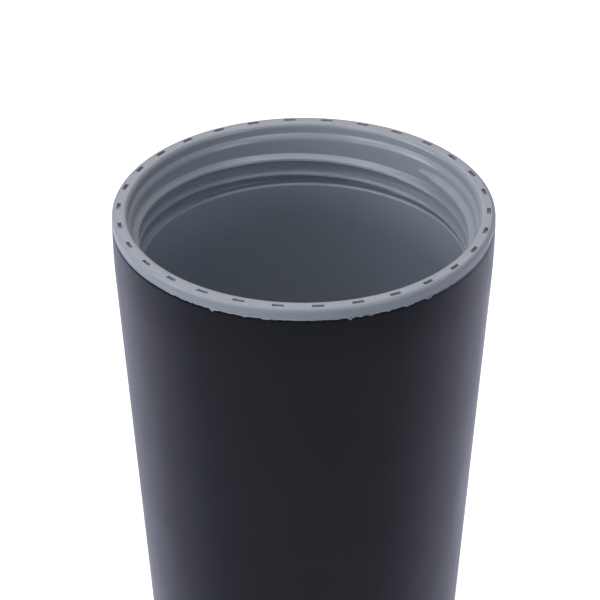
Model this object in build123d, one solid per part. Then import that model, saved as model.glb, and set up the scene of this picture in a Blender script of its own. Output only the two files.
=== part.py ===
"""Tapered double-wall rock tumbler barrel, open at its mouth.

Millimetres. +Z is the barrel's axis and points out of the mouth. The origin is the centre of the base, on
the plane that the barrel stands on. Angles are in degrees from +X towards +Y.
"""

from build123d import *
import math
import os

# Overall size
BARREL_HEIGHT = 155.0
RIM_RADIUS = 58.0
BODY_TAPER = 3.95            # half angle of the conical body
TAPER_START_DEPTH = 13.0     # below the rim's top, where the cone meets the rim's cylinder
CROWN_RADIUS = 255.0         # the long curve that blends that cylinder into the cone
TAPER_SLOPE = math.tan(math.radians(BODY_TAPER))
FIT_GAP = 0.05               # keeps two rounded corners from meeting exactly
OVERLAP = 1.0                # how far pieces of one solid run into each other before they are joined

# Rim flange
FLANGE_HEIGHT = 3.65
MOUTH_RADIUS = 53.25
RIM_OUTER_ROUND = 1.2
RIM_INNER_ROUND = 1.4
SEAM_CHAMFER = 0.25

# Drive pockets in the rim's top face
POCKET_COUNT = 30
POCKET_RING_RADIUS = 56.0
POCKET_LENGTH = 3.4
POCKET_WIDTH = 1.1
POCKET_DEPTH = 1.05
POCKET_FIRST_ANGLE = -1.67

# Weld joint between the flange and the shell
TONGUE_INNER_RADIUS = 56.4
TONGUE_OUTER_RADIUS = 57.2
TONGUE_DEPTH = 1.8
GROOVE_DEPTH = 2.0

# Sloping shoulder just inside the mouth
SHOULDER_TOP_RADIUS = 53.1
SHOULDER_TOP_DEPTH = 3.05
SHOULDER_FOOT_DEPTH = 3.95
SHOULDER_ROUND = 2.7

# Internal thread
THREAD_ROOT_RADIUS = 51.9
THREAD_CREST_RADIUS = 50.0
THREAD_BURIED_RADIUS = 52.6
THREAD_STARTS = 2
THREAD_LEAD = 10.4
THREAD_FIRST_START = 45.6
THREAD_START_DEPTH = 7.85    # of the crest's lower edge, where a ridge starts
THREAD_SWEEP = 500.0         # each ridge runs on until it is under the sealing ledge
THREAD_RUN_IN = 9.5          # degrees over which a ridge rises to its full size
RIDGE_START_RADIUS = 51.1    # of the crest at a ridge's blunt start
CREST_LAND = 0.5
UPPER_FLANK_DROP = 1.8
LOWER_FLANK_DROP = 0.9
RIDGE_STEP = 10.0

# Sealing ledge and liner wall
LEDGE_DEPTH = 19.8
LEDGE_ROUND = 0.8
LEDGE_CORNER_ROUND = 0.7
LEDGE_BORE_RADIUS = 49.6
LINER_WALL = 2.5
FLOOR_THICKNESS = 2.6
FLOOR_HEIGHT = 21.0          # of the floor's inside face above the base plane
FLOOR_INNER_ROUND = 8.0
FLOOR_OUTER_ROUND = 10.0
LINER_FOOT_INNER_RADIUS = 34.0
LINER_FOOT_OUTER_RADIUS = 36.5
NECK_OUTER_RADIUS = 54.4
NECK_TOP_ROUND = 0.5
NECK_STEP_ROUND = 1.0

# Outer shell
SHELL_WALL = 2.2
SHELL_LIP_INNER_RADIUS = 55.4
SHELL_LIP_HEIGHT = 4.0
SHELL_LIP_STEP = 0.4

# Base cap
CAP_BAND_HEIGHT = 6.0
FOOT_ROUND = 1.5
FOOT_INNER_ROUND = 0.6
INSIDE_ROUND = 0.8
FOOT_INNER_RADIUS = 44.0
PLATE_UNDERSIDE = 3.0
PLATE_THICKNESS = 2.4
SPIGOT_RADIUS = 46.3
SPIGOT_TOP = 14.0
COLLAR_TOP = 13.0
COLLAR_WALL = 2.0
RIB_COUNT = 6
RIB_WIDTH = 2.0
RIB_TOP = 11.0
RIB_EMBED = 0.5              # how far a rib's ends run into the walls it joins

# Drive hub
HUB_RADIUS = 11.0
HUB_TOP = 17.0
SOCKET_RADIUS = 6.2
SOCKET_DEPTH = 12.0
SOCKET_LEAD_IN = 0.5
CROSS_PIN_SLOT_LENGTH = 18.0
CROSS_PIN_SLOT_WIDTH = 3.6
CROSS_PIN_SLOT_DEPTH = 8.0

# Rubber centring ring
RING_INNER_RADIUS = 31.5
RING_OUTER_RADIUS = 39.0
RING_HEIGHT = 10.0
RING_FLOOR = 3.0
RING_ROUND = 0.6

# Heights that several pieces share
SEAM_HEIGHT = BARREL_HEIGHT - FLANGE_HEIGHT
LEDGE_HEIGHT = BARREL_HEIGHT - LEDGE_DEPTH
TAPER_START_HEIGHT = BARREL_HEIGHT - TAPER_START_DEPTH
FLOOR_UNDERSIDE = FLOOR_HEIGHT - FLOOR_THICKNESS
PLATE_TOP = PLATE_UNDERSIDE + PLATE_THICKNESS
LINER_FOOT_BOTTOM = PLATE_TOP + RING_FLOOR


def body_radius(height):
    """Outer radius of the conical body at this height."""
    return RIM_RADIUS - TAPER_SLOPE * (TAPER_START_HEIGHT - height)


def turned(corners):
    """Turn a closed outline about Z. Each corner is (radius, height, fillet radius)."""
    points = [(radius, height) for radius, height, _ in corners]
    fillets = [fillet_radius for _, _, fillet_radius in corners]
    outline = FilletPolyline(*points, radius=fillets, close=True)
    return revolve(Plane.XZ * make_face(outline), Axis.Z)


def disc(radius, low, high):
    """A plain cylinder on the axis between two heights."""
    return Pos(0, 0, low) * extrude(Circle(radius), high - low)


def liner_cup():
    """The liner without its thread and pockets."""
    ledge_low = LEDGE_HEIGHT - LEDGE_ROUND
    inner_floor_radius = LEDGE_BORE_RADIUS - TAPER_SLOPE * (ledge_low - FLOOR_HEIGHT)
    neck_low = LEDGE_HEIGHT + LINER_WALL
    wall_top_radius = LEDGE_BORE_RADIUS + LINER_WALL
    outer_floor_radius = wall_top_radius - TAPER_SLOPE * (ledge_low - FLOOR_UNDERSIDE)
    return turned(
        [
            (0, FLOOR_HEIGHT, 0),
            (inner_floor_radius, FLOOR_HEIGHT, FLOOR_INNER_ROUND),
            (LEDGE_BORE_RADIUS, ledge_low, 0),
            (LEDGE_BORE_RADIUS, LEDGE_HEIGHT, LEDGE_ROUND - FIT_GAP),
            (THREAD_ROOT_RADIUS, LEDGE_HEIGHT, LEDGE_CORNER_ROUND),
            (THREAD_ROOT_RADIUS, BARREL_HEIGHT - SHOULDER_FOOT_DEPTH, SHOULDER_ROUND),
            (SHOULDER_TOP_RADIUS, BARREL_HEIGHT - SHOULDER_TOP_DEPTH, 0),
            (MOUTH_RADIUS, BARREL_HEIGHT, RIM_INNER_ROUND),
            (RIM_RADIUS, BARREL_HEIGHT, RIM_OUTER_ROUND),
            (RIM_RADIUS, SEAM_HEIGHT + SEAM_CHAMFER, 0),
            (RIM_RADIUS - SEAM_CHAMFER, SEAM_HEIGHT, 0),
            (TONGUE_OUTER_RADIUS, SEAM_HEIGHT, 0),
            (TONGUE_OUTER_RADIUS, SEAM_HEIGHT - TONGUE_DEPTH, 0),
            (TONGUE_INNER_RADIUS, SEAM_HEIGHT - TONGUE_DEPTH, 0),
            (TONGUE_INNER_RADIUS, SEAM_HEIGHT, 0),
            (NECK_OUTER_RADIUS, SEAM_HEIGHT, NECK_TOP_ROUND),
            (NECK_OUTER_RADIUS, neck_low, NECK_STEP_ROUND),
            (wall_top_radius, ledge_low, NECK_STEP_ROUND),
            (outer_floor_radius, FLOOR_UNDERSIDE, FLOOR_OUTER_ROUND),
            (0, FLOOR_UNDERSIDE, 0),
        ]
    )


def liner_foot():
    """The ring under the liner's floor that plugs into the centring ring."""
    top = FLOOR_UNDERSIDE + OVERLAP
    ring = disc(LINER_FOOT_OUTER_RADIUS, LINER_FOOT_BOTTOM, top)
    return ring - disc(LINER_FOOT_INNER_RADIUS, LINER_FOOT_BOTTOM, top)


def ridge_section(angle, crest_low, crest_radius):
    """A thread ridge cut by the half plane at this angle. Its root is inside the liner's wall."""
    crest_high = crest_low + CREST_LAND
    corners = [
        (THREAD_BURIED_RADIUS, crest_low - LOWER_FLANK_DROP),
        (THREAD_BURIED_RADIUS, crest_high + UPPER_FLANK_DROP),
        (crest_radius, crest_high),
        (crest_radius, crest_low),
    ]
    return Plane.XZ.rotated((0, 0, angle)) * make_face(Polyline(*corners, close=True))


def thread_ridge(start_angle):
    """One ridge of the right-hand thread, from its blunt start down to below the ledge."""
    sections = []
    for step in range(round(THREAD_SWEEP / RIDGE_STEP) + 1):
        turned_by = step * RIDGE_STEP
        rise = min(turned_by / THREAD_RUN_IN, 1.0)
        crest_radius = RIDGE_START_RADIUS + (THREAD_CREST_RADIUS - RIDGE_START_RADIUS) * rise
        crest_low = BARREL_HEIGHT - THREAD_START_DEPTH - THREAD_LEAD * turned_by / 360
        sections.append(ridge_section(start_angle - turned_by, crest_low, crest_radius))
    return loft(sections)


def drive_pockets():
    """The ring of small blind pockets in the rim's top face."""
    pockets = []
    for index in range(POCKET_COUNT):
        angle = POCKET_FIRST_ANGLE + index * 360 / POCKET_COUNT
        place = Rot(0, 0, angle) * Pos(POCKET_RING_RADIUS, 0, BARREL_HEIGHT)
        pockets.append(place * Box(POCKET_WIDTH, POCKET_LENGTH, 2 * POCKET_DEPTH))
    return pockets


def make_inner_liner():
    liner = liner_cup() + liner_foot()
    envelope = disc(THREAD_BURIED_RADIUS + OVERLAP, LEDGE_HEIGHT - OVERLAP, BARREL_HEIGHT)
    for start in range(THREAD_STARTS):
        ridge = thread_ridge(THREAD_FIRST_START + start * 360 / THREAD_STARTS)
        liner = liner + (ridge & envelope)
    return liner - drive_pockets()


def make_outer_shell():
    wall_offset = SHELL_WALL / math.cos(math.radians(BODY_TAPER))
    lip_bottom = SEAM_HEIGHT - SHELL_LIP_HEIGHT
    inner_radius = RIM_RADIUS - SHELL_WALL
    low = CAP_BAND_HEIGHT
    return turned(
        [
            (RIM_RADIUS - SEAM_CHAMFER, SEAM_HEIGHT, 0),
            (RIM_RADIUS, SEAM_HEIGHT - SEAM_CHAMFER, 0),
            (RIM_RADIUS, TAPER_START_HEIGHT, CROWN_RADIUS),
            (body_radius(low + SEAM_CHAMFER), low + SEAM_CHAMFER, 0),
            (body_radius(low) - SEAM_CHAMFER, low, 0),
            (body_radius(low) - wall_offset, low, 0),
            (inner_radius, TAPER_START_HEIGHT, 0),
            (inner_radius, lip_bottom - SHELL_LIP_STEP, 0),
            (SHELL_LIP_INNER_RADIUS, lip_bottom, 0),
            (SHELL_LIP_INNER_RADIUS, SEAM_HEIGHT, 0),
            (TONGUE_INNER_RADIUS, SEAM_HEIGHT, 0),
            (TONGUE_INNER_RADIUS, SEAM_HEIGHT - GROOVE_DEPTH, 0),
            (TONGUE_OUTER_RADIUS, SEAM_HEIGHT - GROOVE_DEPTH, 0),
            (TONGUE_OUTER_RADIUS, SEAM_HEIGHT, 0),
        ]
    )


def cap_body():
    """The cap's band, plate and spigot, without collars, ribs and hub."""
    band_top = CAP_BAND_HEIGHT
    return turned(
        [
            (0, PLATE_UNDERSIDE, 0),
            (FOOT_INNER_RADIUS, PLATE_UNDERSIDE, INSIDE_ROUND),
            (FOOT_INNER_RADIUS, 0, FOOT_INNER_ROUND),
            (body_radius(0), 0, FOOT_ROUND),
            (body_radius(band_top - SEAM_CHAMFER), band_top - SEAM_CHAMFER, 0),
            (body_radius(band_top) - SEAM_CHAMFER, band_top, 0),
            (SPIGOT_RADIUS, band_top, 0),
            (SPIGOT_RADIUS, SPIGOT_TOP, FOOT_INNER_ROUND),
            (SPIGOT_RADIUS - SHELL_WALL, SPIGOT_TOP, 0),
            (SPIGOT_RADIUS - SHELL_WALL, PLATE_TOP, INSIDE_ROUND),
            (0, PLATE_TOP, 0),
        ]
    )


def collar(inner_radius, outer_radius):
    """A ring wall on top of the cap's plate."""
    low = PLATE_TOP - OVERLAP
    return disc(outer_radius, low, COLLAR_TOP) - disc(inner_radius, low, COLLAR_TOP)


def rib(inner_radius, outer_radius, angle):
    """A radial rib between two ring walls, standing on the cap's plate."""
    length = outer_radius - inner_radius + 2 * RIB_EMBED
    height = RIB_TOP - PLATE_TOP + OVERLAP
    centre = Pos((inner_radius + outer_radius) / 2, 0, RIB_TOP - height / 2)
    return Rot(0, 0, angle) * centre * Box(length, RIB_WIDTH, height)


def drive_socket():
    """The blind round socket with its cross-pin slot, open downwards."""
    bore = disc(SOCKET_RADIUS, PLATE_UNDERSIDE, PLATE_UNDERSIDE + SOCKET_DEPTH)
    lead_in = Pos(0, 0, PLATE_UNDERSIDE + SOCKET_LEAD_IN / 2) * Cone(
        SOCKET_RADIUS + SOCKET_LEAD_IN, SOCKET_RADIUS, SOCKET_LEAD_IN
    )
    slot = Pos(0, 0, PLATE_UNDERSIDE + CROSS_PIN_SLOT_DEPTH / 2) * Box(
        CROSS_PIN_SLOT_LENGTH, CROSS_PIN_SLOT_WIDTH, CROSS_PIN_SLOT_DEPTH
    )
    return bore + lead_in + slot


def make_base_cap():
    inner_collar_radius = RING_INNER_RADIUS - COLLAR_WALL
    outer_collar_radius = RING_OUTER_RADIUS + COLLAR_WALL
    cap = cap_body() + disc(HUB_RADIUS, PLATE_UNDERSIDE, HUB_TOP)
    cap += collar(inner_collar_radius, RING_INNER_RADIUS)
    cap += collar(RING_OUTER_RADIUS, outer_collar_radius)
    for index in range(RIB_COUNT):
        angle = index * 360 / RIB_COUNT
        cap += rib(HUB_RADIUS, inner_collar_radius, angle)
        cap += rib(outer_collar_radius, SPIGOT_RADIUS - SHELL_WALL, angle)
    return cap - drive_socket()


def make_centring_ring():
    top = PLATE_TOP + RING_HEIGHT
    return turned(
        [
            (RING_INNER_RADIUS, PLATE_TOP, 0),
            (RING_OUTER_RADIUS, PLATE_TOP, 0),
            (RING_OUTER_RADIUS, top, RING_ROUND),
            (LINER_FOOT_OUTER_RADIUS, top, RING_ROUND),
            (LINER_FOOT_OUTER_RADIUS, LINER_FOOT_BOTTOM, 0),
            (LINER_FOOT_INNER_RADIUS, LINER_FOOT_BOTTOM, 0),
            (LINER_FOOT_INNER_RADIUS, top, RING_ROUND),
            (RING_INNER_RADIUS, top, RING_ROUND),
        ]
    )


def main():
    os.makedirs("parts", exist_ok=True)
    export_step(make_inner_liner(), "parts/inner_liner.step")
    export_step(make_outer_shell(), "parts/outer_shell.step")
    export_step(make_base_cap(), "parts/base_cap.step")
    export_step(make_centring_ring(), "parts/centring_ring.step")


main()
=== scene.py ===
"""The looks of a tapered double-wall tumbling barrel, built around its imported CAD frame.

Outlines are written in millimetres, as a radius from the barrel's axis and a height from the rim's top,
negative below it.
Angles are in degrees from +X towards +Y. Blender's own units are metres.
"""

import math

import bmesh
import bpy
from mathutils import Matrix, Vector, noise


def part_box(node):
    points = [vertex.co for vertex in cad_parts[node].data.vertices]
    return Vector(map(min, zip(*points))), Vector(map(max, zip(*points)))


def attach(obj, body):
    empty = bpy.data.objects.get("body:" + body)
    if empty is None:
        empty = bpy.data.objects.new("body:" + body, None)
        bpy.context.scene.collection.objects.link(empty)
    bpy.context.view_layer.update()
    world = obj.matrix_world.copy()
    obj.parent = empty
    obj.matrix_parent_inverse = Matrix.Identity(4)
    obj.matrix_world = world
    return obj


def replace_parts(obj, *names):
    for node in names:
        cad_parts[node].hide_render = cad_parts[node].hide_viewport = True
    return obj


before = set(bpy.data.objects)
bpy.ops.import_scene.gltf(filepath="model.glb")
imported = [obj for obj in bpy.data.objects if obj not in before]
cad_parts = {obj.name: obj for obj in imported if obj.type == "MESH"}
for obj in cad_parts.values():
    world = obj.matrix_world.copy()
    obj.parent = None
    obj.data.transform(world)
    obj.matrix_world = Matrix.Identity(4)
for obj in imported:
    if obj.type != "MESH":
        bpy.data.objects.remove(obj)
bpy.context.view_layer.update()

MM = 0.001
LINER_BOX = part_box("inner_liner")
SHELL_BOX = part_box("outer_shell")
RIM_TOP = LINER_BOX[1].z
RIM_RADIUS = LINER_BOX[1].x / MM
BARREL_HEIGHT = RIM_TOP / MM

# Outlines
ARC_STEPS = 5                # faces in a round corner
SAME_PLACE_DIGITS = 4        # corners that agree to this many digits are one vertex
SHARP_ANGLE = 32.0           # edges sharper than this stay crisp

# Rim flange
FLANGE_HEIGHT = 3.65
MOUTH_RADII = (53.25, 53.1)  # at the rim and at the shoulder's top
RIM_OUTER_ROUND = 1.2
FLANGE_WAIST = -2.3          # below this the flange's side leans in
FLANGE_LEAN = 0.16
FLANGE_SIDE_ROUND = 9.0
RIM_INNER_ROUND = 1.4
SEAM_EDGE = 0.08             # bevel on the flange's lower edge

# Drive pockets in the rim's top face
POCKET_COUNT = 30
POCKET_PERIOD = 360 / POCKET_COUNT
POCKET_FIRST_ANGLE = -1.67
POCKET_RING_RADIUS = 56.0
POCKET_HALF_WIDTH = 0.49
POCKET_HALF_LENGTH = 1.67
POCKET_DRAFT = 0.08          # each wall leans out by this, and the bevel on its edge is this wide
POCKET_EDGE_DEPTH = 0.06     # of that bevel
POCKET_DEPTH = 1.05
PLAIN_STEPS = 10             # columns between one pocket and the next

# Shoulder between the mouth's wall and the thread's root
SHOULDER_TOP = -3.15
SHOULDER_BOTTOM = -5.7
SHOULDER_FOOT_POWER = 2.9    # 1 is a straight cone, and more is a longer upright foot
SHOULDER_CORNER_POWER = 1.3  # 1 is a sharp upper corner, and more is a rounder one
SHOULDER_STEPS = 14

# Internal thread
THREAD_ROOT_RADIUS = 51.9
THREAD_CREST_RADIUS = 50.0
THREAD_PITCH = 5.2
THREAD_STARTS = 2
THREAD_START_ANGLE = 45.6
THREAD_START_HEIGHT = -7.85  # of the crest's lower edge
RUN_IN_ANGLE = 9.5           # a ridge reaches its full size over this angle
RIDGE_START_SIZE = 0.42      # share of its section that a ridge starts with
RIDGE_MARGIN = 0.4           # plain wall above a ridge
UPPER_ROOT = 1.8             # where a ridge's flanks meet the wall, above and below its crest's lower edge
UPPER_ROOT_ROUND = 0.3
LOWER_ROOT = -0.35
LOWER_ROOT_ROUND = 2.1
CREST_TOP = 0.7              # where the upper flank meets the crest, above the crest's lower edge
CREST_ROUND = 0.7
UNDERCUT_DEPTH = 0.5         # how far the wall under a ridge lies behind the wall above it
UNDERCUT_FADE = -2.9         # where the two meet again
BEAD_HEIGHT = 0.26           # the fine raised line along a crest's lower edge
BEAD_DEPTH = 0.07
BEAD_ROUNDS = (0.05, 0.06, 0.03)

# Sealing ledge, inside wall and floor
LEDGE_HEIGHT = -19.8
LEDGE_ROUND = 0.8
LEDGE_CORNER_ROUND = 0.7
LEDGE_BORE_RADIUS = 49.6
BODY_SLOPE = math.tan(math.radians(3.95))
LINER_WALL = 2.5
FLOOR_HEIGHT = 21.0 - BARREL_HEIGHT
FLOOR_THICKNESS = 2.6
FLOOR_INNER_ROUND = 8.0
FLOOR_OUTER_ROUND = 10 / 3   # hidden, and tighter than in the CAD part
LINER_FOOT_RADII = (34.0, 36.5)
LINER_FOOT_HEIGHT = 8.4 - BARREL_HEIGHT
LINER_FOOT_ROOT_ROUND = 0.5
LINER_FOOT_EDGE_ROUND = 0.3

# Liner's outside, hidden in the shell
TONGUE_RADII = (56.4, 57.2)
TONGUE_DEPTH = 1.8
NECK_OUTER_RADIUS = 54.4
NECK_STEP_ROUND = 1.0
NECK_TOP_ROUND = 0.5

# Outer shell
SHELL_COLUMNS = 480
SHELL_WALL = 2.2
SHELL_LIP_INNER_RADIUS = 55.4
SHELL_LIP_HEIGHT = 4.0
GROOVE_DEPTH = 2.0
TAPER_START_HEIGHT = -13.0
CROWN_RADIUS = 255.0
CROWN_TOP = -4.6             # the plain side starts here, below the top edge's own rows
CROWN_STEPS = 24
SHELL_EDGE = 0.14            # round on the shell's top edge
SHELL_LIP_STEP = 0.4
BASE_SEAM_CHAMFER = 0.25
SHELL_BOTTOM = SHELL_BOX[0].z / MM - BARREL_HEIGHT

# Weld seam between the flange and the shell
GAP_CLOSED = 0.03            # the seam's width where it is closed, and where it is open
GAP_OPEN = 0.5
GAP_SPAN = (172.0, 240.0)    # the seam stays open over these angles
GAP_FADE = 22.0              # angle over which it opens and closes
FLASH_COLUMNS = 2160
FLASH_SPAN = (228.0, 318.0)  # here the weld squeezed plastic out of the seam
FLASH_FADE = 12.0
FLASH_SEED_HEIGHT = 7.3      # picks the stretch of noise that shapes the ragged edge
FLASH_SAG = 1.2              # how far down a drop of size 1 hangs
FLASH_COVER = 0.05           # added to the noise, so that drops take up a little over half of the seam
LONG_DROP_WIDTH = 2.1
SHORT_DROP_WIDTH = 0.7
SHORT_DROP_SIZE = 0.32
FLASH_RIPPLE = 0.03          # how far the lip's face goes in and out
FLASH_RIPPLE_WIDTH = 0.9
FLASH_SECTION = [            # distance out from the rim's side, height above the seam, share of the sag
    (-0.4, 0.1, 0),
    (-0.14, 0.1, 0),
    (0.02, -0.01, 0.3),
    (0.05, -0.02, 0.8),
    (0.02, -0.03, 1),
    (-0.06, -0.03, 1),
    (-0.4, 0, 0),
    (-0.4, 0.1, 0),
]

# A hair of melted plastic on the seam, as (angle, height, radius)
HAIR_POINTS = [
    (285.6, -2.75, 57.95),
    (286.6, -2.9, 58.06),
    (288.1, -3.05, 58.1),
    (288.75, -3.85, 58.3),
    (289.6, -4.0, 58.5),
    (290.35, -3.45, 58.45),
    (290.3, -2.9, 58.2),
]
HAIR_RADIUS = 0.07
HAIR_MIDDLE = 0.6            # its radius goes in a wave along the height, round this share of the full one
HAIR_SWING = 0.4             # share that the wave adds or takes away
HAIR_WAVE_HEIGHT = -4.2      # where the wave passes its middle

# Plastics. A pattern's scale is in features per metre, and its depth in metres.
POLISH_EDGE = (53.6, 54.6)   # radii between which the mouth's polished wall turns into the rim's duller face
DRIFT_SCALE = 22             # of the drift between two tones
SPECK_SCALE = 1400
SPECK_LIMITS = (0.62, 0.8)   # noise values where a speck starts and is at its strongest
SPECK_STRENGTH = 0.5
GLOSS_SCALE = 60
GLOSS_STRETCH = (1, 1, 0.35)  # patches of gloss are longer up and down
WAVE_SCALE = 45
WAVE_DEPTH = 0.00012
LINER_TONES = ((0.278, 0.316, 0.367), (0.293, 0.332, 0.384), (0.226, 0.255, 0.301))
DARK_TONES = ((0.007, 0.0079, 0.0115), (0.0085, 0.0095, 0.0136), (0.016, 0.0177, 0.023))
RUBBER_TONES = ((0.014, 0.014, 0.014), (0.02, 0.02, 0.02), (0.03, 0.03, 0.03))

# Floor
FLOOR_REACH = 4.0            # metres from the middle to each side
FLOOR_DROP = 0.0001          # metres below the base, so that the two faces don't share a plane
FLOOR_GLOW = 0.85            # added for the camera only
FLOOR_ROUGHNESS = 0.9
FLOOR_TONES = ((0.58, 0.58, 0.585), (0.62, 0.62, 0.62))
FLOOR_DRIFT_SCALE = 3

# Light. Directions are measured with +X to the right, +Y away from the camera and +Z up.
SOFTBOX_DISTANCE = 1.3       # metres from the rim's centre
WHITE = (1.0, 1.0, 1.0)
WARM = (1.0, 0.36, 0.06)
SOFTBOXES = [                # name, azimuth, elevation, width and height in metres, power in watts, colour
    ("overhead", 0, 90, (0.9, 0.9), 4.3, WHITE),
    ("over_left", 180, 68, (0.6, 0.5), 1.6, WHITE),
    ("over_right", 0, 66, (0.6, 0.5), 1.0, WHITE),
    ("over_back", 90, 66, (0.6, 0.5), 2.5, WARM),
    ("back", 95, 38, (0.8, 0.5), 2.7, WHITE),
    ("front_left_high", 206, 54, (0.7, 0.36), 2.5, WHITE),
    ("front_right_high", 300, 58, (0.6, 0.36), 0.9, WHITE),
    ("left_low", 192, 12, (0.7, 0.36), 4.8, WHITE),
    ("left_middle", 190, 32, (0.5, 0.36), 1.6, WHITE),
    ("front_left_low", 226, 12, (0.7, 0.36), 3.1, WHITE),
    ("front_right_low", 316, 12, (0.6, 0.36), 2.6, WHITE),
]
WORLD_SKY_TINT = (0.8, 0.96, 1.2)
WORLD_LOW_TINT = (0.93, 0.95, 1.19)
WORLD_HORIZON = (0.05, -0.05)  # the direction's Z where the sky's tint ends and the low one is full
WORLD_ALL_ROUND = 0.12       # strength in every direction
WORLD_BEHIND = 1.16          # strength added below the horizon, behind the barrel
WORLD_RISE = (-0.35, 0.9)    # the direction's Y where that starts and is full
WORLD_BELOW = 0.95           # strength added straight below
WORLD_FALL = (-0.56, -1.0)   # the direction's Z where that starts and is full
WORLD_SEEN = 1.0             # strength for the camera

# Camera, solved from the ring of pockets and the rim's two edges
VIEW_ELEVATION = math.radians(30.1311)
VIEW_DISTANCE = 0.9951167
VIEW_TURN = (math.radians(58.27179), math.radians(0.11147), math.radians(0.00866))
VIEW_LENS = 197.546


def rounded(corners, steps=ARC_STEPS):
    """The points of an open outline through (radius, height, fillet radius) corners."""
    outline = []
    for index, (radius, height, fillet) in enumerate(corners):
        corner = Vector((radius, height, 0))
        if not fillet:
            outline.append((radius, height))
            continue
        back = (Vector((*corners[index - 1][:2], 0)) - corner).normalized()
        onward = (Vector((*corners[index + 1][:2], 0)) - corner).normalized()
        half_angle = back.angle(onward) / 2
        reach = fillet / math.tan(half_angle)
        centre = corner + (back + onward).normalized() * fillet / math.sin(half_angle)
        start = corner + back * reach - centre
        end = corner + onward * reach - centre
        for step in range(steps + 1):
            point = centre + start.slerp(end, step / steps) * fillet
            outline.append((point.x, point.y))
    return outline


def even_angles(count):
    return [index * 360 / count for index in range(count)]


def rim_angles():
    """Column angles that follow the pockets' edges, the same in each pocket's share of the rim."""
    half = math.degrees(POCKET_HALF_LENGTH / POCKET_RING_RADIUS)
    lean = math.degrees(POCKET_DRAFT / POCKET_RING_RADIUS)
    edge = half + 2 * lean
    pocket = [-edge, -half - lean, -half, 0.0, half, half + lean, edge]
    plain = POCKET_PERIOD - 2 * edge
    offsets = pocket + [edge + plain * step / PLAIN_STEPS for step in range(1, PLAIN_STEPS)]
    return [
        POCKET_FIRST_ANGLE + index * POCKET_PERIOD + offset
        for index in range(POCKET_COUNT)
        for offset in offsets
    ]


class TurnedMesh:
    """A surface built from rows of points round the axis. Points at the same place are one vertex."""

    def __init__(self, angles):
        self.angles = angles
        self.found = {}
        self.vertices = []
        self.faces = []

    def vertex(self, column, radius, height):
        column %= len(self.angles)
        key = (column if radius else 0, round(radius, SAME_PLACE_DIGITS), round(height, SAME_PLACE_DIGITS))
        if key not in self.found:
            angle = math.radians(self.angles[column])
            self.found[key] = len(self.vertices)
            self.vertices.append(
                (radius * MM * math.cos(angle), radius * MM * math.sin(angle), RIM_TOP + height * MM)
            )
        return self.found[key]

    def add_rows(self, rows):
        """Each row is a function that gives a column's (radius, height)."""
        for upper, lower in zip(rows, rows[1:]):
            for column in range(len(self.angles)):
                corners = [
                    self.vertex(column, *upper(column)),
                    self.vertex(column, *lower(column)),
                    self.vertex(column + 1, *lower(column + 1)),
                    self.vertex(column + 1, *upper(column + 1)),
                ]
                corners = list(dict.fromkeys(corners))
                if len(corners) > 2:
                    self.faces.append(corners)

    def build(self, name, material):
        mesh = bpy.data.meshes.new(name)
        mesh.from_pydata(self.vertices, [], self.faces)
        shape = bmesh.new()
        shape.from_mesh(mesh)
        bmesh.ops.recalc_face_normals(shape, faces=shape.faces)
        shape.to_mesh(mesh)
        shape.free()
        mesh.polygons.foreach_set("use_smooth", [True] * len(mesh.polygons))
        mesh.set_sharp_from_angle(angle=math.radians(SHARP_ANGLE))
        mesh.materials.append(material)
        piece = bpy.data.objects.new(name, mesh)
        bpy.context.scene.collection.objects.link(piece)
        weighted = piece.modifiers.new("weighted_normals", "WEIGHTED_NORMAL")
        weighted.keep_sharp = True
        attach(piece, "root")
        return piece


def ring_rows(outline):
    """Rows that are the same all the way round."""
    return [lambda column, point=point: point for point in outline]


# Inner liner


def pocket_rows(angles):
    """Rows over the rim's flat top, which dip into the drive pockets."""
    slope = [
        (POCKET_HALF_WIDTH + 2 * POCKET_DRAFT, 0.0),
        (POCKET_HALF_WIDTH + POCKET_DRAFT, POCKET_EDGE_DEPTH),
        (POCKET_HALF_WIDTH, POCKET_DEPTH),
    ]
    across = slope + [(0.0, POCKET_DEPTH)] + [(-offset, depth) for offset, depth in reversed(slope)]
    columns_each = len(angles) // POCKET_COUNT
    along = [0.0, POCKET_EDGE_DEPTH, POCKET_DEPTH, POCKET_DEPTH, POCKET_DEPTH, POCKET_EDGE_DEPTH, 0.0]
    along += [0.0] * (columns_each - len(along))

    def row(offset, depth):
        return lambda column: (POCKET_RING_RADIUS + offset, -min(depth, along[column % columns_each]))

    return [row(offset, depth) for offset, depth in across]


def ridge_outline():
    """One pitch of the thread from the top down, as (radius, height above the crest's lower edge)."""
    above_bead, on_bead, below_bead = BEAD_ROUNDS
    return rounded(
        [
            (THREAD_ROOT_RADIUS, UPPER_ROOT + RIDGE_MARGIN, 0),
            (THREAD_ROOT_RADIUS, UPPER_ROOT, UPPER_ROOT_ROUND),
            (THREAD_CREST_RADIUS, CREST_TOP, CREST_ROUND),
            (THREAD_CREST_RADIUS, BEAD_HEIGHT, above_bead),
            (THREAD_CREST_RADIUS - BEAD_DEPTH, BEAD_HEIGHT / 2, on_bead),
            (THREAD_CREST_RADIUS, 0, below_bead),
            (THREAD_ROOT_RADIUS + UNDERCUT_DEPTH, LOWER_ROOT, LOWER_ROOT_ROUND),
            (THREAD_ROOT_RADIUS, UNDERCUT_FADE, 0),
        ]
    )


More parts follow.
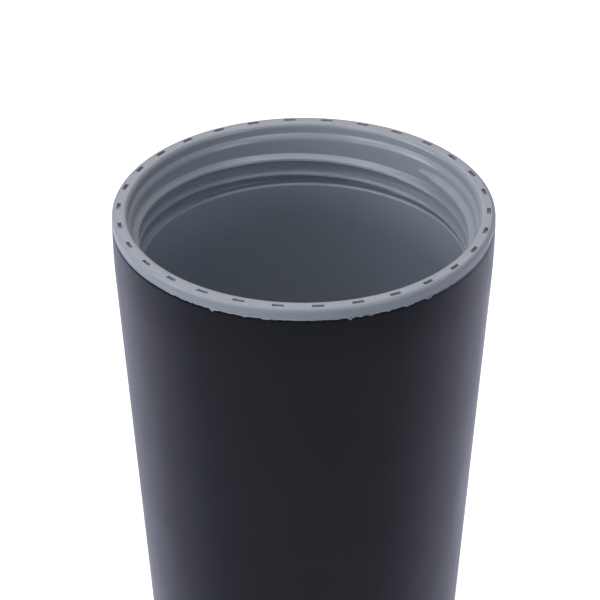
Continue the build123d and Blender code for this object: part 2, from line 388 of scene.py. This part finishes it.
class Thread:
    """The two-start thread. Its rows climb round the mouth, so each comes back as the row two pitches up."""

    def __init__(self, angles, bottom):
        self.angles = angles
        self.bottom = bottom
        self.outline = ridge_outline()

    def crest_height(self, ridge, column):
        climb = THREAD_STARTS * THREAD_PITCH * (self.angles[column] - THREAD_START_ANGLE) / 360
        return THREAD_START_HEIGHT - THREAD_PITCH * ridge + climb

    def place(self, number, column):
        """Radius and height of a numbered row at a column, before it is cut off at the thread's ends."""
        if column == len(self.angles):
            return self.place(number - THREAD_STARTS * len(self.outline), 0)
        ridge, point = divmod(number, len(self.outline))
        radius, above = self.outline[point]
        crest = self.crest_height(ridge, column)
        turned = (THREAD_START_HEIGHT - crest) * 360 / (THREAD_STARTS * THREAD_PITCH)
        size = 0
        if turned > 0:
            size = RIDGE_START_SIZE + (1 - RIDGE_START_SIZE) * min(turned / RUN_IN_ANGLE, 1) ** 2
        if radius != THREAD_ROOT_RADIUS:
            above *= size
        return THREAD_ROOT_RADIUS - (THREAD_ROOT_RADIUS - radius) * size, crest + above

    def radius_at(self, height, column):
        """The thread's radius at this height, between its rows."""
        number = 0
        while self.place(number, column)[1] > height:
            number += 1
        upper = self.place(number - 1, column)
        lower = self.place(number, column)
        share = (upper[1] - height) / (upper[1] - lower[1])
        return upper[0] + (lower[0] - upper[0]) * share

    def rows(self):
        first = -THREAD_STARTS * len(self.outline)
        last = first
        while self.place(last, len(self.angles) - 1)[1] > self.bottom:
            last += 1

        def row(number):
            def cut_place(column):
                radius, height = self.place(number, column)
                if height > SHOULDER_BOTTOM:
                    return THREAD_ROOT_RADIUS, SHOULDER_BOTTOM
                if height < self.bottom:
                    return self.radius_at(self.bottom, column % len(self.angles)), self.bottom
                return radius, height

            return cut_place

        return [row(number) for number in range(first, last + 1)]

    def under(self, outline):
        """Rows of an outline below the thread, where the ridges that stand further in are kept."""

        def row(radius, height):
            return lambda column: (
                min(radius, self.radius_at(height, column % len(self.angles))),
                height,
            )

        return [row(radius, height) for radius, height in outline]


def liner_outside():
    """From the centre of the underside up to the seam and over the flange to the rim's flat top."""
    seam = -FLANGE_HEIGHT
    ledge_low = LEDGE_HEIGHT - LEDGE_ROUND
    wall_radius = LEDGE_BORE_RADIUS + LINER_WALL
    underside = FLOOR_HEIGHT - FLOOR_THICKNESS
    floor_radius = wall_radius - BODY_SLOPE * (ledge_low - underside)
    foot_inner, foot_outer = LINER_FOOT_RADII
    tongue_inner, tongue_outer = TONGUE_RADII
    return rounded(
        [
            (0, underside, 0),
            (foot_inner, underside, LINER_FOOT_ROOT_ROUND),
            (foot_inner, LINER_FOOT_HEIGHT, LINER_FOOT_EDGE_ROUND),
            (foot_outer, LINER_FOOT_HEIGHT, LINER_FOOT_EDGE_ROUND),
            (foot_outer, underside, 0),
            (floor_radius, underside, FLOOR_OUTER_ROUND),
            (wall_radius, ledge_low, NECK_STEP_ROUND),
            (NECK_OUTER_RADIUS, LEDGE_HEIGHT + LINER_WALL, NECK_STEP_ROUND),
            (NECK_OUTER_RADIUS, seam, NECK_TOP_ROUND),
            (tongue_inner, seam, 0),
            (tongue_inner, seam - TONGUE_DEPTH, 0),
            (tongue_outer, seam - TONGUE_DEPTH, 0),
            (tongue_outer, seam, 0),
            (RIM_RADIUS - FLANGE_LEAN - SEAM_EDGE, seam, 0),
            (RIM_RADIUS - FLANGE_LEAN, seam + SEAM_EDGE, 0),
            (RIM_RADIUS, FLANGE_WAIST, FLANGE_SIDE_ROUND),
            (RIM_RADIUS, 0, RIM_OUTER_ROUND),
            (POCKET_RING_RADIUS, 0, 0),
        ]
    )[:-1]


def liner_mouth():
    """From the rim's flat top down past the shoulder to the top of the thread."""
    rim_radius, shoulder_radius = MOUTH_RADII
    width = shoulder_radius - THREAD_ROOT_RADIUS
    height = SHOULDER_TOP - SHOULDER_BOTTOM
    shares = [step / SHOULDER_STEPS for step in reversed(range(SHOULDER_STEPS))]
    shoulder = [
        (
            THREAD_ROOT_RADIUS + width * (1 - (1 - share**SHOULDER_FOOT_POWER) ** SHOULDER_CORNER_POWER),
            SHOULDER_BOTTOM + height * share,
            0,
        )
        for share in shares
    ]
    corners = [
        (POCKET_RING_RADIUS, 0, 0),
        (rim_radius, 0, RIM_INNER_ROUND),
        (shoulder_radius, SHOULDER_TOP, 0),
    ]
    return rounded(corners + shoulder)[1:]


def liner_inside():
    """From the ledge's outer corner down to the centre of the floor. The first points are the ledge's own."""
    ledge_low = LEDGE_HEIGHT - LEDGE_ROUND
    floor_radius = LEDGE_BORE_RADIUS - BODY_SLOPE * (ledge_low - FLOOR_HEIGHT)
    ledge = rounded(
        [
            (THREAD_ROOT_RADIUS, LEDGE_HEIGHT + 1, 0),
            (THREAD_ROOT_RADIUS, LEDGE_HEIGHT, LEDGE_CORNER_ROUND),
            (LEDGE_BORE_RADIUS, LEDGE_HEIGHT, LEDGE_ROUND),
            (LEDGE_BORE_RADIUS - BODY_SLOPE, ledge_low - 1, 0),
        ]
    )[1:-1]
    wall = rounded(
        [
            (LEDGE_BORE_RADIUS - BODY_SLOPE, ledge_low - 1, 0),
            (floor_radius, FLOOR_HEIGHT, FLOOR_INNER_ROUND),
            (0, FLOOR_HEIGHT, 0),
        ]
    )
    return ledge, wall


def make_inner_liner(material):
    angles = rim_angles()
    ledge, wall = liner_inside()
    thread = Thread(angles, ledge[0][1])
    mouth = liner_mouth()
    shape = TurnedMesh(angles)
    rows = ring_rows(liner_outside()) + pocket_rows(angles) + ring_rows(mouth)
    rows += thread.rows() + thread.under(ledge) + ring_rows(wall)
    shape.add_rows(rows)
    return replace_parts(shape.build("liner", material), "inner_liner")


# Outer shell


def span_share(angle, span, fade):
    """1 inside a span of angles, 0 outside it, with soft ends."""
    low, high = span
    edge = min(max(min(angle - low, high - angle) / fade + 0.5, 0), 1)
    return edge * edge * (3 - 2 * edge)


def seam_gap(angle):
    return GAP_CLOSED + (GAP_OPEN - GAP_CLOSED) * span_share(angle, GAP_SPAN, GAP_FADE)


def make_outer_shell(material):
    """The shell. Its top edge drops away from the flange where the seam is open."""
    seam = -FLANGE_HEIGHT
    angles = even_angles(SHELL_COLUMNS)
    bottom_radius = RIM_RADIUS - BODY_SLOPE * (TAPER_START_HEIGHT - SHELL_BOTTOM)
    crown = rounded(
        [
            (RIM_RADIUS, CROWN_TOP, 0),
            (RIM_RADIUS, TAPER_START_HEIGHT, CROWN_RADIUS),
            (bottom_radius, SHELL_BOTTOM, 0),
        ],
        CROWN_STEPS,
    )[:-1]
    inner_radius = RIM_RADIUS - SHELL_WALL
    lip_bottom = seam - SHELL_LIP_HEIGHT
    groove_inner, groove_outer = TONGUE_RADII
    body = crown + [
        (bottom_radius + BODY_SLOPE * BASE_SEAM_CHAMFER, SHELL_BOTTOM + BASE_SEAM_CHAMFER),
        (bottom_radius - BASE_SEAM_CHAMFER, SHELL_BOTTOM),
        (bottom_radius - SHELL_WALL, SHELL_BOTTOM),
        (inner_radius, TAPER_START_HEIGHT),
        (inner_radius, lip_bottom - SHELL_LIP_STEP),
        (SHELL_LIP_INNER_RADIUS, lip_bottom),
        (SHELL_LIP_INNER_RADIUS, seam),
        (groove_inner, seam),
        (groove_inner, seam - GROOVE_DEPTH),
        (groove_outer, seam - GROOVE_DEPTH),
    ]
    top_edge = [
        (groove_outer, 0),
        (RIM_RADIUS - SHELL_EDGE, 0),
        (RIM_RADIUS - SHELL_EDGE / 4, -SHELL_EDGE / 4),
        (RIM_RADIUS, -SHELL_EDGE),
    ]

    def edge_row(radius, drop):
        return lambda column: (radius, seam - seam_gap(angles[column % SHELL_COLUMNS]) + drop)

    shape = TurnedMesh(angles)
    rows = ring_rows(body) + [edge_row(radius, drop) for radius, drop in top_edge] + ring_rows(body[:1])
    shape.add_rows(rows)
    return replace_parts(shape.build("shell", material), "outer_shell")


# Weld flash


def seam_noise(angle, feature):
    """Noise from -1 to 1 along the seam, with features of this length in millimetres."""
    turn = math.radians(angle)
    reach = RIM_RADIUS / feature
    return noise.noise(Vector((reach * math.cos(turn), reach * math.sin(turn), FLASH_SEED_HEIGHT)))


def make_weld_flash(material):
    """The thin ragged lip that the weld squeezed out over the shell's top edge."""
    seam = -FLANGE_HEIGHT
    angles = even_angles(FLASH_COLUMNS)

    def sag(angle):
        long_drop = max(seam_noise(angle, LONG_DROP_WIDTH) + FLASH_COVER, 0) ** 2
        short_drop = SHORT_DROP_SIZE * max(seam_noise(angle, SHORT_DROP_WIDTH) + FLASH_COVER, 0)
        return FLASH_SAG * (long_drop + short_drop) * span_share(angle, FLASH_SPAN, FLASH_FADE)

    def row(out, rise, follows_sag):
        def place(column):
            angle = angles[column % FLASH_COLUMNS]
            bulge = FLASH_RIPPLE * seam_noise(angle, FLASH_RIPPLE_WIDTH)
            return RIM_RADIUS + out + bulge * follows_sag, seam + rise - follows_sag * sag(angle)

        return place

    shape = TurnedMesh(angles)
    shape.add_rows([row(*point) for point in FLASH_SECTION])
    return shape.build("weld_flash", material)


def make_weld_hair(material):
    """One hair of melted plastic that hangs on the seam."""
    curve = bpy.data.curves.new("weld_hair", "CURVE")
    curve.dimensions = "3D"
    curve.bevel_depth = HAIR_RADIUS * MM
    curve.bevel_resolution = 3
    curve.use_fill_caps = True
    line = curve.splines.new("NURBS")
    line.points.add(len(HAIR_POINTS) - 1)
    for point, (angle, height, radius) in zip(line.points, HAIR_POINTS):
        turn = math.radians(angle)
        reach = radius * MM
        point.co = (reach * math.cos(turn), reach * math.sin(turn), RIM_TOP + height * MM, 1)
        point.radius = HAIR_MIDDLE + HAIR_SWING * math.sin(math.pi * (height - HAIR_WAVE_HEIGHT))
    line.order_u = 4
    line.use_endpoint_u = True
    curve.resolution_u = 6
    curve.materials.append(material)
    hair = bpy.data.objects.new("weld_hair", curve)
    bpy.context.scene.collection.objects.link(hair)
    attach(hair, "root")


# Materials


def add_node(tree, kind, inputs=None, **settings):
    """A shader node with these settings and socket values."""
    node = tree.nodes.new(kind)
    for name, value in settings.items():
        setattr(node, name, value)
    for name, value in (inputs or {}).items():
        node.inputs[name].default_value = value
    return node


def surface_noise(tree, scale, detail, stretch=(1, 1, 1)):
    """Noise fixed to the object. Stretch multiplies the scale along each axis."""
    place = add_node(tree, "ShaderNodeTexCoord")
    mapping = add_node(tree, "ShaderNodeMapping", {"Scale": stretch})
    pattern = add_node(tree, "ShaderNodeTexNoise", {"Scale": scale, "Detail": detail})
    tree.links.new(place.outputs["Object"], mapping.inputs["Vector"])
    tree.links.new(mapping.outputs["Vector"], pattern.inputs["Vector"])
    return pattern.outputs["Fac"]


def spread(tree, value, low, high, start=0.3, end=0.7):
    """Maps a value that goes from start to end onto the range from low to high, and stops there."""
    ramp = add_node(
        tree, "ShaderNodeMapRange", {"From Min": start, "From Max": end, "To Min": low, "To Max": high}
    )
    tree.links.new(value, ramp.inputs["Value"])
    return ramp.outputs["Result"]


def plain_colour(tree, tone):
    """A socket that gives one (red, green, blue) tone."""
    node = add_node(tree, "ShaderNodeRGB")
    node.outputs["Color"].default_value = (*tone, 1)
    return node.outputs["Color"]


def mix_colours(tree, factor, first, tone):
    """From a colour's socket, at a factor of 0, to a plain tone at 1."""
    mix = add_node(tree, "ShaderNodeMix", {"B": (*tone, 1)}, data_type="RGBA")
    tree.links.new(factor, mix.inputs["Factor"])
    tree.links.new(first, mix.inputs["A"])
    return mix.outputs["Result"]


def add_bump(tree, height, depth, below=None):
    """A bump, on top of another bump's normal where one is given."""
    bump = add_node(tree, "ShaderNodeBump", {"Distance": depth, "Strength": 1.0})
    tree.links.new(height, bump.inputs["Height"])
    if below is not None:
        tree.links.new(below, bump.inputs["Normal"])
    return bump.outputs["Normal"]


def add_math(tree, operation, first, second):
    """A Math node's result. The second value is a socket or a number."""
    node = add_node(tree, "ShaderNodeMath", operation=operation)
    tree.links.new(first, node.inputs[0])
    if isinstance(second, (int, float)):
        node.inputs[1].default_value = second
    else:
        tree.links.new(second, node.inputs[1])
    return node.outputs[0]


def axis_distance(tree):
    """Distance in metres from the barrel's axis."""
    place = add_node(tree, "ShaderNodeTexCoord")
    flat = add_node(tree, "ShaderNodeVectorMath", {1: (1, 1, 0)}, operation="MULTIPLY")
    length = add_node(tree, "ShaderNodeVectorMath", operation="LENGTH")
    tree.links.new(place.outputs["Object"], flat.inputs[0])
    tree.links.new(flat.outputs["Vector"], length.inputs[0])
    return length.outputs["Value"]


def plastic(name, tones, roughness, grain, specular, dull_outside=0):
    """Moulded plastic: a drift between two tones, specks of a third, uneven gloss, waves and a fine grain.

    grain is the fine grain's scale and depth. dull_outside is the roughness added outside the polished mouth.
    """
    tone, other_tone, speck_tone = tones
    grain_scale, grain_depth = grain
    material = bpy.data.materials.new(name)
    material.use_nodes = True
    tree = material.node_tree
    shader = tree.nodes["Principled BSDF"]
    shader.inputs["Specular IOR Level"].default_value = specular
    drift = spread(tree, surface_noise(tree, DRIFT_SCALE, 3), 0, 1)
    colour = mix_colours(tree, drift, plain_colour(tree, tone), other_tone)
    specks = spread(tree, surface_noise(tree, SPECK_SCALE, 1), 0, SPECK_STRENGTH, *SPECK_LIMITS)
    colour = mix_colours(tree, specks, colour, speck_tone)
    gloss = spread(tree, surface_noise(tree, GLOSS_SCALE, 4, GLOSS_STRETCH), *roughness)
    if dull_outside:
        edge = [radius * MM for radius in POLISH_EDGE]
        gloss = add_math(tree, "ADD", gloss, spread(tree, axis_distance(tree), 0, dull_outside, *edge))
    waves = add_bump(tree, surface_noise(tree, WAVE_SCALE, 1), WAVE_DEPTH)
    fine = add_bump(tree, surface_noise(tree, grain_scale, 2), grain_depth, below=waves)
    tree.links.new(colour, shader.inputs["Base Color"])
    tree.links.new(gloss, shader.inputs["Roughness"])
    tree.links.new(fine, shader.inputs["Normal"])
    return material


# Floor and light


def make_floor():
    """A plain pale floor that glows for the camera, and that the barrel doesn't reflect."""
    mesh = bpy.data.meshes.new("floor")
    corners = [(-1, -1), (1, -1), (1, 1), (-1, 1)]
    places = [(x * FLOOR_REACH, y * FLOOR_REACH, -FLOOR_DROP) for x, y in corners]
    mesh.from_pydata(places, [], [range(len(corners))])
    floor = bpy.data.objects.new("floor", mesh)
    bpy.context.scene.collection.objects.link(floor)
    material = bpy.data.materials.new("floor")
    material.use_nodes = True
    tree = material.node_tree
    shader = tree.nodes["Principled BSDF"]
    shader.inputs["Roughness"].default_value = FLOOR_ROUGHNESS
    shader.inputs["Emission Color"].default_value = (*WHITE, 1)
    path = add_node(tree, "ShaderNodeLightPath")
    glow = add_math(tree, "MULTIPLY", path.outputs["Is Camera Ray"], FLOOR_GLOW)
    tree.links.new(glow, shader.inputs["Emission Strength"])
    tone, other_tone = FLOOR_TONES
    drift = surface_noise(tree, FLOOR_DRIFT_SCALE, 2)
    colour = mix_colours(tree, drift, plain_colour(tree, tone), other_tone)
    tree.links.new(colour, shader.inputs["Base Color"])
    mesh.materials.append(material)
    floor.visible_glossy = False


def add_softbox(name, azimuth, elevation, size, power, colour):
    """A soft light round the rim's centre that faces it."""
    light = bpy.data.lights.new(name, "AREA")
    light.shape = "RECTANGLE"
    light.size, light.size_y = size
    light.energy = power
    light.color = colour
    lamp = bpy.data.objects.new(name, light)
    turn = math.radians(azimuth)
    tilt = math.radians(elevation)
    away = Vector((math.cos(turn) * math.cos(tilt), math.sin(turn) * math.cos(tilt), math.sin(tilt)))
    lamp.location = Vector((0, 0, RIM_TOP)) + away * SOFTBOX_DISTANCE
    lamp.rotation_euler = away.to_track_quat("Z", "Y").to_euler()
    bpy.context.scene.collection.objects.link(lamp)


def light_world():
    """A plain surround, pale to the camera. To the barrel it is faint above, brighter below and behind."""
    world = bpy.data.worlds.new("studio")
    world.use_nodes = True
    bpy.context.scene.world = world
    tree = world.node_tree
    background = tree.nodes["Background"]
    place = add_node(tree, "ShaderNodeTexCoord")
    split = add_node(tree, "ShaderNodeSeparateXYZ")
    tree.links.new(place.outputs["Generated"], split.inputs["Vector"])
    height = split.outputs["Z"]
    low = spread(tree, height, 0, 1, *WORLD_HORIZON)
    behind = spread(tree, split.outputs["Y"], 0, WORLD_BEHIND, *WORLD_RISE)
    glow = add_math(tree, "MULTIPLY", behind, low)
    glow = add_math(tree, "ADD", glow, spread(tree, height, 0, WORLD_BELOW, *WORLD_FALL))
    glow = add_math(tree, "ADD", glow, WORLD_ALL_ROUND)
    path = add_node(tree, "ShaderNodeLightPath")
    camera = path.outputs["Is Camera Ray"]
    seen = add_node(tree, "ShaderNodeMix", {"B": WORLD_SEEN})
    tree.links.new(camera, seen.inputs["Factor"])
    tree.links.new(glow, seen.inputs["A"])
    tree.links.new(seen.outputs["Result"], background.inputs["Strength"])
    tint = mix_colours(tree, low, plain_colour(tree, WORLD_SKY_TINT), WORLD_LOW_TINT)
    tint = mix_colours(tree, camera, tint, WHITE)
    tree.links.new(tint, background.inputs["Color"])


def place_camera():
    camera = bpy.data.objects.new("camera", bpy.data.cameras.new("camera"))
    camera.data.lens = VIEW_LENS
    back = Vector((0, -math.cos(VIEW_ELEVATION), math.sin(VIEW_ELEVATION)))
    camera.location = Vector((0, 0, RIM_TOP)) + back * VIEW_DISTANCE
    camera.rotation_euler = VIEW_TURN
    bpy.context.scene.collection.objects.link(camera)
    bpy.context.scene.camera = camera


def build_barrel():
    liner_plastic = plastic(
        "liner_plastic",
        LINER_TONES,
        roughness=(0.15, 0.23),
        grain=(1800, 0.00002),
        specular=0.5,
        dull_outside=0.18,
    )
    shell_plastic = plastic(
        "shell_plastic",
        DARK_TONES,
        roughness=(0.33, 0.42),
        grain=(2600, 0.00002),
        specular=0.4,
    )
    cap_plastic = plastic(
        "cap_plastic",
        DARK_TONES,
        roughness=(0.4, 0.5),
        grain=(2200, 0.00003),
        specular=0.4,
    )
    ring_rubber = plastic(
        "ring_rubber",
        RUBBER_TONES,
        roughness=(0.6, 0.75),
        grain=(1500, 0.00004),
        specular=0.4,
    )
    make_inner_liner(liner_plastic)
    make_outer_shell(shell_plastic)
    make_weld_flash(liner_plastic)
    make_weld_hair(liner_plastic)
    for node, material in (("base_cap", cap_plastic), ("centring_ring", ring_rubber)):
        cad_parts[node].data.materials.clear()
        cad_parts[node].data.materials.append(material)


def build_studio():
    make_floor()
    for softbox in SOFTBOXES:
        add_softbox(*softbox)
    light_world()
    place_camera()
    bpy.context.scene.view_settings.view_transform = "Standard"


build_barrel()
build_studio()
